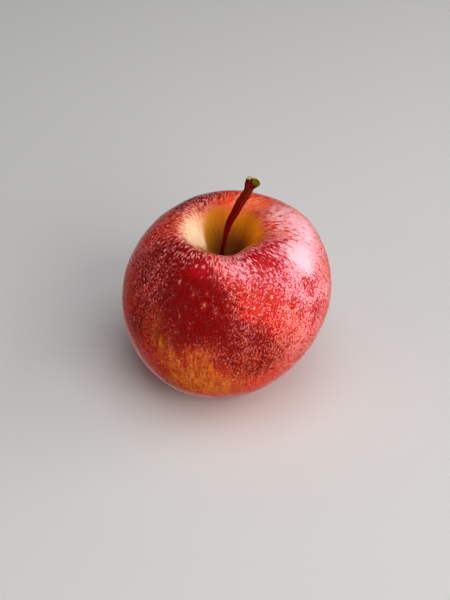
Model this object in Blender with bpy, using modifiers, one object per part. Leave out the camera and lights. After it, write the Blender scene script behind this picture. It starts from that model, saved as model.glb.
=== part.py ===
"""A whole apple: an uneven turned body, the stalk in its cavity and the dried calyx in its basin.

The apple stands on the five small lobes round its basin. Z is up, +X is to the right and -Y is
the front. Every size is in metres and every angle in radians.
"""

import math

import bmesh
import bpy
from mathutils import Vector
from mathutils.geometry import interpolate_bezier

# The body's profile, from the cavity floor over the shoulder and the widest level to the basin
WIDTH = 0.0750
WIDEST_HEIGHT = 0.0355
SHOULDER_HEIGHT = 0.0639
SHOULDER_RADIUS = 0.0180
CAVITY_DEPTH = 0.0160
CAVITY_WALL_RADIUS = 0.0078
CAVITY_WALL_DEPTH = 0.0085
CAVITY_WALL_SLOPE = math.radians(62)
BASE_RADIUS = 0.0137
BASIN_DEPTH = 0.0070

# How far the profile's handles reach at its knots: inwards from each knot, then outwards
CAVITY_FLOOR_REACH = 0.0015
CAVITY_WALL_REACH = 0.0060
SHOULDER_REACHES = (0.0046, 0.0095)
WIDEST_REACHES = (0.0155, 0.0148)
BASE_REACHES = (0.0112, 0.0025)
BASIN_REACH = 0.0050

# Faces along each stretch of the profile, and round the body
PROFILE_STEPS = (9, 9, 14, 16, 8)
ROUND_STEPS = 84

# What makes the body uneven
LEAN = 0.092
CAVITY_SHIFT = -0.0029
LIP_RADIUS = 0.0120
SHIFT_REACH = 0.0260
TILT_HEIGHT = 0.0006
TILT_TURN = math.radians(50)
RIB_COUNT = 5
RIB_HEIGHT = 0.0006
RIB_DEPTH_IN_CAVITY = 0.0005
RIB_TURN = math.radians(-48)
BELLY_SWELL = 0.0035
BELLY_COUNT = 3
BELLY_TURN = math.radians(-8)
FOOT_COUNT = 5
FOOT_TURN = math.radians(20)
FOOT_ARCH = 0.0012
FOOT_FLAT = 0.00025
FOOT_REACH = 0.0140

# The stalk: its line from the pit in the cavity floor up to its swollen end, and its radii there
STALK_LINE = (
    (-0.00175, 0.0000, 0.0452),
    (-0.00145, 0.0000, 0.0522),
    (-0.00040, 0.0001, 0.0586),
    (0.00100, 0.0009, 0.0644),
    (0.00300, 0.0018, 0.0683),
    (0.00500, 0.0029, 0.0720),
    (0.00760, 0.0042, 0.0761),
    (0.00920, 0.0050, 0.0794),
)
STALK_RADII = (0.00095, 0.00074, 0.00076, 0.00120, 0.00142, 0.00160, 0.00152, 0.00140)

# The two ends of the stalk: the oblique bud scar on its own short spur, and the torn tip beside it
SCAR_SPUR_LINE = ((0.0080, 0.0045, 0.0769), (0.0092, 0.0042, 0.0788), (0.0105, 0.0033, 0.0806))
SCAR_SPUR_RADII = (0.00100, 0.00160, 0.00170)
TORN_TIP_LINE = ((0.0075, 0.0042, 0.0762), (0.0079, 0.0047, 0.0789), (0.0080, 0.0047, 0.0814))
TORN_TIP_RADII = (0.00115, 0.00142, 0.00090)

# Steps of a tube: round a quarter of it, and between two of its points
TUBE_ROUND_STEPS = 4
TUBE_LENGTH_STEPS = 4

# The calyx: a squat cup in the basin floor with five dried sepals
CUP_SIZE = (0.0034, 0.0034, 0.0013)
BALL_SEGMENTS = 18
BALL_RINGS = 12
SEPAL_COUNT = 5
SEPAL_LENGTH = 0.0058
SEPAL_ROOT_WIDTH = 0.0017
SEPAL_SWELL = 1.2
SEPAL_TAPER = 0.9
SEPAL_POINTEDNESS = 0.8
SEPAL_THICKNESS = 0.00045
SEPAL_START = 0.0016
SEPAL_CURL = math.radians(100)
SEPAL_CUPPING = 0.0006
SEPAL_TURN = math.radians(52)
SEPAL_STEPS_ACROSS = 4
SEPAL_STEPS_ALONG = 8

# Room left between two pieces that touch, and the distance within which points are merged
GAP = 0.0003
MERGE = 0.00001

# Edge of the block that cuts the body level where it stands
FLOOR_BLOCK = 1.5 * WIDTH

# Edges sharper than this stay sharp in smooth shading
SHARP_ANGLE = math.radians(50)

# Colour and roughness of each piece
SKIN_RED = (0.42, 0.035, 0.025, 1)
SKIN_ROUGHNESS = 0.34
STALK_BROWN = (0.11, 0.022, 0.008, 1)
STALK_ROUGHNESS = 0.55
CALYX_BROWN = (0.10, 0.062, 0.030, 1)
CALYX_ROUGHNESS = 0.85


def clear_scene():
    """Empties the scene before the apple is made."""
    for thing in list(bpy.data.objects):
        bpy.data.objects.remove(thing, do_unlink=True)


def collection(name):
    """A new collection in the scene."""
    made = bpy.data.collections.new(name)
    bpy.context.scene.collection.children.link(made)
    return made


def material(name, colour, roughness):
    """A plain Principled material for one piece."""
    made = bpy.data.materials.new(name)
    made.use_nodes = True
    shader = made.node_tree.nodes["Principled BSDF"]
    shader.inputs["Base Color"].default_value = colour
    shader.inputs["Roughness"].default_value = roughness
    shader.inputs["Metallic"].default_value = 0.0
    return made


def put(name, data, home):
    """Links a new object with this data into the collection home."""
    made = bpy.data.objects.new(name, data)
    home.objects.link(made)
    return made


def evaluated_mesh(thing):
    """The object's mesh with its modifiers applied, welded where caps only touch."""
    bpy.context.view_layer.update()
    graph = bpy.context.evaluated_depsgraph_get()
    mesh = bpy.data.meshes.new_from_object(thing.evaluated_get(graph))
    work = bmesh.new()
    work.from_mesh(mesh)
    bmesh.ops.remove_doubles(work, verts=work.verts, dist=MERGE)
    work.to_mesh(mesh)
    work.free()
    return mesh


def as_mesh_object(thing, home):
    """Replaces a curve or a modified object by a plain mesh object of the same name and place."""
    mesh = evaluated_mesh(thing)
    name, place = thing.name, thing.matrix_world.copy()
    bpy.data.objects.remove(thing, do_unlink=True)
    made = put(name, mesh, home)
    made.matrix_world = place
    return made


def finish(thing, surface):
    """Gives a piece its material, smooth where it is round and sharp at its edges."""
    thing.data.materials.append(surface)
    thing.data.shade_smooth()
    thing.data.set_sharp_from_angle(angle=SHARP_ANGLE)


def smooth_share(value, start, end):
    """0 at start, 1 at end and a smooth step between them."""
    share = min(1.0, max(0.0, (value - start) / (end - start)))
    return share * share * (3 - 2 * share)


def knot(radius, height, heading, reach_in, reach_out):
    """A Bezier knot of the profile: handle before, point, handle after. Heading 0 points outwards."""
    way = Vector((math.cos(heading), 0, math.sin(heading)))
    point = Vector((radius, 0, height))
    return point - way * reach_in, point, point + way * reach_out


def profile_points():
    """The body's profile as points in the XZ plane, running down its outer side."""
    top = SHOULDER_HEIGHT
    wall = (CAVITY_WALL_RADIUS, top - CAVITY_WALL_DEPTH)
    knots = (
        knot(0, top - CAVITY_DEPTH, 0, 0, CAVITY_FLOOR_REACH),
        knot(*wall, CAVITY_WALL_SLOPE, CAVITY_WALL_REACH, CAVITY_WALL_REACH),
        knot(SHOULDER_RADIUS, top, 0, *SHOULDER_REACHES),
        knot(WIDTH / 2, WIDEST_HEIGHT, -math.pi / 2, *WIDEST_REACHES),
        knot(BASE_RADIUS, 0, math.pi, *BASE_REACHES),
        knot(0, BASIN_DEPTH, math.pi, BASIN_REACH, 0),
    )
    points = [knots[0][1]]
    for before, after, steps in zip(knots, knots[1:], PROFILE_STEPS):
        curve = interpolate_bezier(before[1], before[2], after[0], after[1], steps + 1)
        points.extend(curve[1:])
    return points


def turned_body(home):
    """The even body: the profile turned round Z by a Screw modifier."""
    points = profile_points()
    mesh = bpy.data.meshes.new("apple_body")
    mesh.from_pydata(points, [(i, i + 1) for i in range(len(points) - 1)], [])
    body = put("apple_body", mesh, home)
    screw = body.modifiers.new("turn", "SCREW")
    screw.axis = "Z"
    screw.angle = math.tau
    screw.steps = screw.render_steps = ROUND_STEPS
    screw.use_merge_vertices = True
    screw.merge_threshold = MERGE
    return as_mesh_object(body, home)


def uneven(point):
    """Where a point of the even, turned body lies on the real, lopsided apple."""
    around = math.atan2(point.y, point.x)
    radius = math.hypot(point.x, point.y)
    height = point.z
    high = smooth_share(height, WIDEST_HEIGHT, SHOULDER_HEIGHT)
    near_base = (1 - smooth_share(height, 0, FOOT_REACH)) * smooth_share(radius, 0, BASE_RADIUS)
    on_top = high * (1 - smooth_share(radius, LIP_RADIUS, SHIFT_REACH))
    on_wall = on_top * smooth_share(radius, 0, CAVITY_WALL_RADIUS)
    outside = high * smooth_share(radius, 0, LIP_RADIUS)

    rib = math.cos(RIB_COUNT * (around - RIB_TURN)) * (1 + math.cos(around)) / 2
    foot = math.cos(FOOT_COUNT * (around - FOOT_TURN))
    swell = math.cos(BELLY_COUNT * (around - BELLY_TURN))

    radius *= 1 + BELLY_SWELL * swell * (1 - on_top)
    radius -= RIB_DEPTH_IN_CAVITY * rib * on_wall
    height += outside * (RIB_HEIGHT * rib + TILT_HEIGHT * math.cos(around - TILT_TURN))
    height += near_base * (FOOT_ARCH * (1 - foot) / 2 - FOOT_FLAT)

    lean = LEAN * (height - WIDEST_HEIGHT) + CAVITY_SHIFT * on_top
    return Vector((radius * math.cos(around) + lean, radius * math.sin(around), height))


def make_body(home, skin):
    """The body: turned, made uneven and shaded smooth."""
    body = turned_body(home)
    for vertex in body.data.vertices:
        vertex.co = uneven(vertex.co)
    finish(body, skin)
    return body


def tube(name, line, radii, home):
    """A closed tube along a smooth line, with its own radius at each point."""
    curve = bpy.data.curves.new(name, "CURVE")
    curve.dimensions = "3D"
    curve.bevel_depth = max(radii)
    curve.bevel_resolution = TUBE_ROUND_STEPS
    curve.use_fill_caps = True
    curve.resolution_u = TUBE_LENGTH_STEPS
    spline = curve.splines.new("BEZIER")
    spline.bezier_points.add(len(line) - 1)
    for bezier_point, place, radius in zip(spline.bezier_points, line, radii):
        bezier_point.co = place
        bezier_point.radius = radius / max(radii)
        bezier_point.handle_left_type = bezier_point.handle_right_type = "AUTO"
    return as_mesh_object(put(name, curve, home), home)


def ellipsoid(name, place, size, home):
    """A ball stretched to three radii."""
    mesh = bpy.data.meshes.new(name)
    work = bmesh.new()
    bmesh.ops.create_uvsphere(
        work, u_segments=BALL_SEGMENTS, v_segments=BALL_RINGS, radius=1.0
    )
    bmesh.ops.scale(work, vec=size, verts=work.verts)
    work.to_mesh(mesh)
    work.free()
    made = put(name, mesh, home)
    made.location = place
    return made


def add_boolean(thing, others, operation):
    """Adds one exact Boolean between thing and a collection of others."""
    boolean = thing.modifiers.new(operation.lower(), "BOOLEAN")
    boolean.operation = operation
    boolean.operand_type = "COLLECTION"
    boolean.collection = others
    boolean.solver = "EXACT"


def joined_with(others, thing, home):
    """Thing and a collection of others as one solid. The others are used up."""
    add_boolean(thing, others, "UNION")
    joined = as_mesh_object(thing, home)
    for other in list(others.objects):
        bpy.data.objects.remove(other, do_unlink=True)
    bpy.data.collections.remove(others)
    return joined


def make_stalk(home, bark):
    """The stalk: a curved tube that swells upwards, with the scar's spur and the torn tip at its end."""
    ends = collection("stalk_ends")
    tube("scar_spur", SCAR_SPUR_LINE, SCAR_SPUR_RADII, ends)
    tube("torn_tip", TORN_TIP_LINE, TORN_TIP_RADII, ends)
    stalk = joined_with(ends, tube("stalk", STALK_LINE, STALK_RADII, home), home)
    finish(stalk, bark)
    return stalk


def sepal_point(across, along):
    """A point of the first sepal's middle face. Both shares run over the sepal, across from -1 to 1."""
    turned = SEPAL_CURL * along
    bend = SEPAL_LENGTH / SEPAL_CURL
    outwards = SEPAL_START + bend * (1 - math.cos(turned))
    down = bend * math.sin(turned)
    narrowing = (1 - SEPAL_TAPER * along) ** SEPAL_POINTEDNESS
    half_width = SEPAL_ROOT_WIDTH / 2 * (1 + SEPAL_SWELL * along) * narrowing
    cupped = SEPAL_CUPPING * across**2 * (1 - along)
    return Vector((outwards - cupped, half_width * across, -down))


def make_sepal(index, home):
    """One dried sepal: a grid bent outwards and thickened."""
    mesh = bpy.data.meshes.new("sepal")
    work = bmesh.new()
    bmesh.ops.create_grid(
        work, x_segments=SEPAL_STEPS_ACROSS, y_segments=SEPAL_STEPS_ALONG, size=1.0
    )
    for vertex in work.verts:
        vertex.co = sepal_point(vertex.co.x, (vertex.co.y + 1) / 2)
    work.to_mesh(mesh)
    work.free()
    sepal = put(f"sepal_{index}", mesh, home)
    sepal.rotation_euler.z = SEPAL_TURN + math.tau * index / SEPAL_COUNT
    solid = sepal.modifiers.new("thickness", "SOLIDIFY")
    solid.thickness = SEPAL_THICKNESS
    solid.offset = 0
    return sepal


def basin_floor():
    """The middle of the basin floor, on the leaned body."""
    return uneven(Vector((0, 0, BASIN_DEPTH)))


def make_calyx(home, dried):
    """The calyx: a squat cup half sunk in the basin floor, joined to its sepals."""
    place = basin_floor()
    sepals = collection("sepals")
    for index in range(SEPAL_COUNT):
        make_sepal(index, sepals).location = place
    calyx = joined_with(sepals, ellipsoid("calyx", place, CUP_SIZE, home), home)
    finish(calyx, dried)
    return calyx


def make_cutters(home):
    """What is taken off the body: the floor it stands on, the stalk's pit and the calyx's seat."""
    floor_mesh = bpy.data.meshes.new("floor_cutter")
    work = bmesh.new()
    bmesh.ops.create_cube(work, size=FLOOR_BLOCK)
    bmesh.ops.translate(work, vec=(0, 0, -FLOOR_BLOCK / 2), verts=work.verts)
    work.to_mesh(floor_mesh)
    work.free()
    put("floor_cutter", floor_mesh, home)

    bottom, above = (Vector(place) for place in STALK_LINE[:2])
    pit_bottom = bottom + (bottom - above).normalized() * GAP
    pit_line = (pit_bottom, bottom, above)
    pit_radii = [radius + GAP for radius in (STALK_RADII[0], *STALK_RADII[:2])]
    tube("stalk_pit_cutter", pit_line, pit_radii, home)

    seat_size = [radius + GAP for radius in CUP_SIZE]
    ellipsoid("calyx_seat_cutter", basin_floor(), seat_size, home)
    for cutter in home.objects:
        cutter.hide_render = True
        cutter.display_type = "WIRE"


def stand_on_origin(things, body):
    """Parents everything to one empty, and moves it so that the body's footprint is centred."""
    bpy.context.view_layer.update()
    graph = bpy.context.evaluated_depsgraph_get()
    corners = [Vector(corner) for corner in body.evaluated_get(graph).bound_box]
    middle = (min(c.x for c in corners) + max(c.x for c in corners)) / 2
    depth = (min(c.y for c in corners) + max(c.y for c in corners)) / 2
    apple = put("apple", None, bpy.context.scene.collection)
    for thing in things:
        thing.parent = apple
    apple.location = (-middle, -depth, 0)


def main():
    """Makes the apple."""
    clear_scene()
    parts = collection("apple")
    cutters = collection("cutters")
    body = make_body(parts, material("skin", SKIN_RED, SKIN_ROUGHNESS))
    stalk = make_stalk(parts, material("bark", STALK_BROWN, STALK_ROUGHNESS))
    calyx = make_calyx(parts, material("dried_calyx", CALYX_BROWN, CALYX_ROUGHNESS))
    make_cutters(cutters)
    add_boolean(body, cutters, "DIFFERENCE")
    stand_on_origin([body, stalk, calyx, *cutters.objects], body)


main()
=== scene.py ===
"""Dresses the whole apple: its speckled skin with pores and streaks, the ridged stalk and the dry calyx.

Lengths are in metres and angles in radians. Pixels are those of the 450 by 600 photograph.
"""

import math
import random

import bmesh
import bpy
import numpy as np
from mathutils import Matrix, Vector
from mathutils.bvhtree import BVHTree
from mathutils.kdtree import KDTree


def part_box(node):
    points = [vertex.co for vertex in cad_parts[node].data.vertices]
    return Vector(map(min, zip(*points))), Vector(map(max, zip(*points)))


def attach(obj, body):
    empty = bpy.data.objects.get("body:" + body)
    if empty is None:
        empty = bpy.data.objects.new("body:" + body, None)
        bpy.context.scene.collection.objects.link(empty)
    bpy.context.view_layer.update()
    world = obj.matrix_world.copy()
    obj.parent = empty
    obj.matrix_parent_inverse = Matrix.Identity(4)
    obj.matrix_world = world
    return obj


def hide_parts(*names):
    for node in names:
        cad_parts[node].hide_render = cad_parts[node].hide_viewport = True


# The photograph's camera, fitted to the outline and the lip of the cavity
CAMERA_ELEVATION = math.radians(39)
CAMERA_DISTANCE = 0.510
CAMERA_LENS = 84.8
CAMERA_SENSOR = 36.0
CAMERA_AIM = Vector((-0.00042, -0.00005, 0.0314))
IMAGE_WIDTH = 450
IMAGE_HEIGHT = 600

# The body's own axis, which leans, and the cavity, which sits left of it
AXIS_X = -0.00014
AXIS_Y = -0.00005
LEAN = 0.092
WIDEST_HEIGHT = 0.0355
SHOULDER_HEIGHT = 0.0639
CAVITY_SHIFT = -0.0029
LIP_RADIUS = 0.0120
SHIFT_REACH = 0.0260

# The ring inside the flesh that the meridians' lengths are swept round
CORE_RADIUS = 0.0180
CORE_HEIGHT = 0.0360

MM = 0.001
SEED = 7


def smooth(values, start, end):
    """0 at start, 1 at end and a smooth step between them, for arrays and numbers."""
    share = np.clip((np.asarray(values, float) - start) / (end - start), 0, 1)
    return share * share * (3 - 2 * share)


def linear(red, green, blue):
    """A linear colour from screen values of 0 to 255."""
    shares = [value / 255 for value in (red, green, blue)]
    return tuple(s / 12.92 if s <= 0.04045 else ((s + 0.055) / 1.055) ** 2.4 for s in shares)


def put(name, data):
    """Links a new object with this data into the scene."""
    made = bpy.data.objects.new(name, data)
    bpy.context.scene.collection.objects.link(made)
    return made


# Camera and light

CAMERA_CLIP = 0.01

# The ways from the fruit to its lamps, and their tints
LIGHT_AIM = Vector((0, 0, 0.035))
WINDOW_WAY = (0.82, 0.10, 0.50)
GLINT_WAY = (0.84, 0.41, 0.30)
OVERHEAD_WAY = (0.10, -0.15, 1)
FRONT_WAY = (0.60, -0.72, 0.45)
LEFT_WAY = (-0.90, -0.40, 0.30)
WINDOW_TINT = (1, 0.97, 0.95)
GLINT_TINT = (0.93, 0.95, 1)
OVERHEAD_TINT = (0.93, 0.96, 1)
FILL_TINT = (1, 0.98, 0.95)

# The studio's tint and level, and how much paler it is from this cosine to straight behind
STUDIO_TINT = (0.97, 0.98, 1, 1)
STUDIO_LEVEL = 0.028
STUDIO_BEHIND_LEVEL = 0.75
STUDIO_BEHIND_START = 0.83

FLOOR_HALF_WIDTH = 8.0
FLOOR_GREY = linear(214, 213, 211)
FLOOR_ROUGHNESS = 0.9


def camera_back():
    """The direction from what the camera looks at back to the camera."""
    return Vector((0, -math.cos(CAMERA_ELEVATION), math.sin(CAMERA_ELEVATION)))


def make_camera():
    """The camera at the photograph's angle and distance."""
    data = bpy.data.cameras.new("camera")
    data.lens = CAMERA_LENS
    data.sensor_width = CAMERA_SENSOR
    data.clip_start = CAMERA_CLIP
    camera = put("camera", data)
    back = camera_back()
    camera.location = CAMERA_AIM + back * CAMERA_DISTANCE
    camera.rotation_euler = back.to_track_quat("Z", "Y").to_euler()
    bpy.context.scene.camera = camera


def pixel_ray(x, y):
    """The camera's place and the direction in which it sees a pixel."""
    back = camera_back()
    right = Vector((1, 0, 0))
    up = back.cross(right)
    focal = CAMERA_LENS / CAMERA_SENSOR * IMAGE_HEIGHT
    way = right * (x - IMAGE_WIDTH / 2) / focal - up * (y - IMAGE_HEIGHT / 2) / focal - back
    return CAMERA_AIM + back * CAMERA_DISTANCE, way.normalized()


def area_light(name, toward, colour, distance, size, level, mirrored=True, lighting=True):
    """A soft square lamp that gives a surface facing it this level of light."""
    data = bpy.data.lights.new(name, "AREA")
    data.size = size
    data.energy = level * math.pi * math.pi * distance * distance
    data.color = colour
    lamp = put(name, data)
    way = Vector(toward).normalized()
    lamp.location = LIGHT_AIM + way * distance
    lamp.rotation_euler = way.to_track_quat("Z", "Y").to_euler()
    lamp.visible_glossy = mirrored
    lamp.visible_diffuse = lighting


def make_light():
    """A window on the right, a large soft light overhead, two soft fills and a dim studio.

    The glint and the sheen show only as reflections, and the other lamps aren't reflected.
    """
    area_light("window", WINDOW_WAY, WINDOW_TINT, distance=0.96, size=0.64, level=0.32, mirrored=False)
    area_light("glint", GLINT_WAY, GLINT_TINT, distance=0.60, size=0.34, level=0.22, lighting=False)
    area_light("overhead", OVERHEAD_WAY, OVERHEAD_TINT, distance=0.75, size=0.60, level=0.50, mirrored=False)
    area_light("sheen", OVERHEAD_WAY, OVERHEAD_TINT, distance=0.75, size=0.60, level=0.13, lighting=False)
    area_light("front", FRONT_WAY, FILL_TINT, distance=1.30, size=1.14, level=0.92, mirrored=False)
    area_light("left", LEFT_WAY, FILL_TINT, distance=1.30, size=1.14, level=0.18, mirrored=False)
    make_studio()
    bpy.context.scene.view_settings.view_transform = "Standard"


def make_studio():
    """A dim surround that is paler low behind, where the skin mirrors it along its edge."""
    world = bpy.data.worlds.new("studio")
    world.use_nodes = True
    background = world.node_tree.nodes["Background"]
    s = Shader(world.node_tree)
    way = s.parts(s.node("ShaderNodeTexCoord").outputs["Generated"])
    toward_back = s.total((way[1], math.cos(CAMERA_ELEVATION)), (way[2], -math.sin(CAMERA_ELEVATION)))
    behind = s.step(toward_back, STUDIO_BEHIND_START, 1.0)
    background.inputs["Color"].default_value = STUDIO_TINT
    s.feed(background.inputs["Strength"], s.total((behind, STUDIO_BEHIND_LEVEL), STUDIO_LEVEL))
    bpy.context.scene.world = world


def make_floor():
    """A plain pale floor."""
    mesh = bpy.data.meshes.new("floor")
    work = bmesh.new()
    bmesh.ops.create_grid(work, x_segments=1, y_segments=1, size=FLOOR_HALF_WIDTH)
    work.to_mesh(mesh)
    work.free()
    floor = put("floor", mesh)
    material, shader = new_material("floor")
    shader.finish(FLOOR_GREY, FLOOR_ROUGHNESS, Specular_IOR_Level=0.0)
    mesh.materials.append(material)
    floor.visible_glossy = False


# Materials

class Shader:
    """A tree of shader nodes, with short calls for the nodes that it is made of."""

    def __init__(self, tree):
        self.nodes = tree.nodes
        self.links = tree.links

    def node(self, kind, **settings):
        """A new node with these settings."""
        made = self.nodes.new(kind)
        for name, value in settings.items():
            setattr(made, name, value)
        return made

    def feed(self, socket, value):
        """Sets a socket to a number or colour, or links it to another node's output."""
        if isinstance(value, bpy.types.NodeSocket):
            self.links.new(value, socket)
        elif isinstance(value, tuple):
            socket.default_value = (*value, 1)
        else:
            socket.default_value = value

    def attribute(self, name, output="Fac"):
        """A value or vector that the mesh holds at each point."""
        return self.node("ShaderNodeAttribute", attribute_name=name).outputs[output]

    def math(self, operation, first, second, clamp=False):
        """One step of arithmetic."""
        made = self.node("ShaderNodeMath", operation=operation, use_clamp=clamp)
        self.feed(made.inputs[0], first)
        self.feed(made.inputs[1], second)
        return made.outputs[0]

    def total(self, *terms):
        """The sum of several values, each alone or as a pair with its factor."""
        result = None
        for term in terms:
            value = self.math("MULTIPLY", *term) if isinstance(term, tuple) else term
            result = value if result is None else self.math("ADD", result, value)
        return result

    def step(self, value, start, end):
        """0 at start, 1 at end and a smooth step between them."""
        made = self.node("ShaderNodeMapRange", interpolation_type="SMOOTHSTEP")
        self.feed(made.inputs["Value"], value)
        self.feed(made.inputs["From Min"], start)
        self.feed(made.inputs["From Max"], end)
        return made.outputs["Result"]

    def noise(self, vector, scale, detail, roughness):
        """Cloudy noise, about 0 on average."""
        made = self.node("ShaderNodeTexNoise")
        self.feed(made.inputs["Vector"], vector)
        self.feed(made.inputs["Scale"], scale)
        self.feed(made.inputs["Detail"], detail)
        self.feed(made.inputs["Roughness"], roughness)
        return self.math("SUBTRACT", made.outputs["Fac"], 0.5)

    def stretched(self, vector, factors):
        """A vector with each of its parts multiplied by a factor."""
        made = self.node("ShaderNodeVectorMath", operation="MULTIPLY")
        self.feed(made.inputs[0], vector)
        made.inputs[1].default_value = factors
        return made.outputs["Vector"]

    def cells(self, vector, scale):
        """The distance to the nearest of many scattered points, about 0.5 on average."""
        made = self.node("ShaderNodeTexVoronoi", feature="F1")
        self.feed(made.inputs["Vector"], vector)
        self.feed(made.inputs["Scale"], scale)
        return made.outputs["Distance"]

    def blend(self, share, first, second):
        """Two values mixed by share."""
        made = self.node("ShaderNodeMix", data_type="FLOAT", clamp_factor=True)
        self.feed(made.inputs["Factor"], share)
        self.feed(made.inputs[2], first)
        self.feed(made.inputs[3], second)
        return made.outputs[0]

    def mix(self, share, first, second):
        """Two colours mixed by share, 0 for the first and 1 for the second."""
        made = self.node("ShaderNodeMix", data_type="RGBA", clamp_factor=True)
        self.feed(made.inputs["Factor"], share)
        self.feed(made.inputs[6], first)
        self.feed(made.inputs[7], second)
        return made.outputs[2]

    def length(self, vector):
        """A vector's length."""
        made = self.node("ShaderNodeVectorMath", operation="LENGTH")
        self.feed(made.inputs[0], vector)
        return made.outputs["Value"]

    def vector(self, first, second):
        """A flat vector from two values."""
        made = self.node("ShaderNodeCombineXYZ")
        self.feed(made.inputs[0], first)
        self.feed(made.inputs[1], second)
        return made.outputs[0]

    def parts(self, vector):
        """A vector's three parts."""
        made = self.node("ShaderNodeSeparateXYZ")
        self.feed(made.inputs[0], vector)
        return made.outputs

    def bump(self, height, distance, strength):
        """A bumped normal from a height."""
        made = self.node("ShaderNodeBump")
        self.feed(made.inputs["Height"], height)
        made.inputs["Distance"].default_value = distance
        made.inputs["Strength"].default_value = strength
        return made.outputs["Normal"]

    def finish(self, colour, roughness, normal=None, **numbers):
        """Feeds the surface its colour, roughness, bump and plain numbers."""
        surface = self.nodes["Principled BSDF"]
        self.feed(surface.inputs["Base Color"], colour)
        self.feed(surface.inputs["Roughness"], roughness)
        if normal:
            self.feed(surface.inputs["Normal"], normal)
        for name, value in numbers.items():
            surface.inputs[name.replace("_", " ")].default_value = value


def new_material(name):
    """A new material with nodes, and its tree with the short calls."""
    material = bpy.data.materials.new(name)
    material.use_nodes = True
    return material, Shader(material.node_tree)


# The skin

# Pores that stand out in the photograph: pixel, dot radius and halo radius in mm, and strength
BOLD_PORES = (
    (197, 266, 0.55, 1.6, 1.0), (204, 267, 0.55, 1.6, 1.0), (180, 282, 0.55, 0.9, 1.0),
    (172, 288, 0.40, 0.8, 0.5), (204, 306, 0.50, 1.1, 0.8), (180, 317, 0.45, 0.8, 0.6),
    (238, 285, 0.36, 1.7, 0.7), (272, 298, 0.42, 2.1, 1.0), (255, 309, 0.44, 1.9, 1.0),
    (293, 302, 0.38, 1.8, 0.9), (306, 283, 0.42, 1.6, 1.0), (311, 290, 0.42, 1.8, 1.0),
    (302, 313, 0.32, 1.3, 0.7), (263, 322, 0.36, 1.2, 0.6), (257, 338, 0.38, 1.1, 0.6),
    (272, 338, 0.38, 1.1, 0.7), (266, 346, 0.40, 1.2, 0.6), (227, 306, 0.42, 1.3, 0.6),
    (188, 258, 0.45, 0.9, 0.8), (220, 267, 0.36, 1.0, 0.5), (168, 225, 0.55, 0.9, 1.0),
    (177, 239, 0.50, 0.9, 1.0), (165, 250, 0.45, 0.9, 0.9), (161, 274, 0.42, 0.9, 0.5),
    (274, 357, 0.34, 1.0, 0.5), (290, 357, 0.34, 1.0, 0.5), (142, 317, 0.36, 0.8, 0.4),
    (174, 216, 0.55, 0.8, 1.0), (157, 229, 0.50, 0.8, 0.9), (153, 236, 0.50, 0.8, 0.9),
    (159, 242, 0.50, 0.8, 1.0), (151, 243, 0.45, 0.8, 0.8), (184, 240, 0.45, 0.8, 0.9),
    (181, 247, 0.45, 0.8, 0.9), (162, 282, 0.42, 0.8, 0.7), (184, 261, 0.42, 0.8, 0.8),
)

# Broad patches of the skin: pixel of the middle, radius in mm and strength
RED_PATCHES = (
    (191, 298, 10, 1.20), (206, 320, 8, 0.75), (198, 268, 4, 0.65), (230, 341, 5, 0.28),
    (262, 362, 3, 0.15), (258, 342, 4, 0.20), (268, 340, 5, 0.20), (243, 303, 7, 0.10),
    (172, 300, 7, 0.20), (185, 336, 6, 0.22), (144, 328, 8, 0.26), (138, 290, 8, 0.26),
    (258, 254, 4, 0.32), (272, 262, 4, 0.30), (278, 275, 4, 0.20), (284, 248, 4, 0.36),
    (272, 243, 3, 0.36), (262, 264, 4, 0.22), (318, 308, 4, 0.36), (272, 308, 8, 0.42),
    (310, 285, 3, 0.50), (310, 242, 3, 0.12), (316, 308, 3, 0.20), (303, 312, 3, 0.15),
    (200, 196, 8, 0.25), (262, 228, 3, 0.18), (274, 226, 3, 0.25), (184, 248, 6, 0.20),
    (162, 252, 9, 0.22), (150, 264, 6, 0.20), (178, 252, 5, 0.15), (140, 352, 6, 0.12),
    (132, 318, 6, 0.25), (155, 365, 6, 0.15), (248, 366, 6, 0.15), (176, 345, 5, 0.22),
    (228, 362, 5, 0.12), (150, 345, 5, 0.15), (285, 352, 4, 0.12),
)
LIGHT_PATCHES = (
    (240, 270, 6, 0.36), (230, 262, 5, 0.20), (300, 262, 9, 0.32), (292, 222, 13, 0.36),
    (310, 298, 8, 0.16), (285, 214, 9, 0.56), (324, 290, 5, 0.25), (285, 273, 6, 0.14),
    (243, 203, 5, 0.16), (262, 201, 5, 0.30), (300, 335, 10, 0.20), (285, 318, 7, 0.12),
    (250, 388, 9, 0.12), (318, 330, 6, 0.10), (214, 352, 4, 0.12), (208, 388, 8, 0.30),
    (250, 326, 4, 0.10), (322, 262, 7, 0.20), (192, 206, 5, 0.10), (182, 262, 5, 0.12),
    (152, 280, 6, 0.10), (165, 345, 4, 0.10),
)
GOLD_PATCHES = (
    (188, 359, 7, 0.85), (202, 373, 8, 0.80), (172, 370, 8, 0.65), (157, 337, 5, 0.85),
    (160, 316, 3, 0.50), (153, 307, 3, 0.45), (222, 386, 9, 0.70), (214, 346, 3, 0.40),
    (242, 200, 6, 0.30), (285, 212, 9, 0.25), (182, 388, 8, 0.70), (165, 372, 8, 0.50),
)
WARM_PATCHES = (
    (238, 201, 9, 0.90), (262, 206, 9, 0.50), (168, 226, 9, 0.60), (272, 236, 6, 0.50),
)
# Orange patches at the top behind the cavity, their brightness partly painted rim light
RIM_LIT_EMBER_PATCHES = (
    (240, 202, 7, 0.95), (258, 203, 6, 0.55),
)
# Dark red patches, partly the skin's own colour and partly painted shade on the centre left and low front
DEEP_RED_AND_SHADE_PATCHES = (
    (192, 300, 11, 1.00), (205, 322, 9, 0.80), (222, 345, 8, 0.60), (245, 345, 8, 0.50),
    (264, 348, 7, 0.60), (262, 364, 6, 0.60), (150, 335, 9, 0.30), (172, 340, 8, 0.45),
    (140, 300, 9, 0.50), (142, 346, 8, 0.20), (285, 355, 6, 0.30), (248, 366, 9, 0.45),
    (170, 305, 7, 0.50),
)
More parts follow.
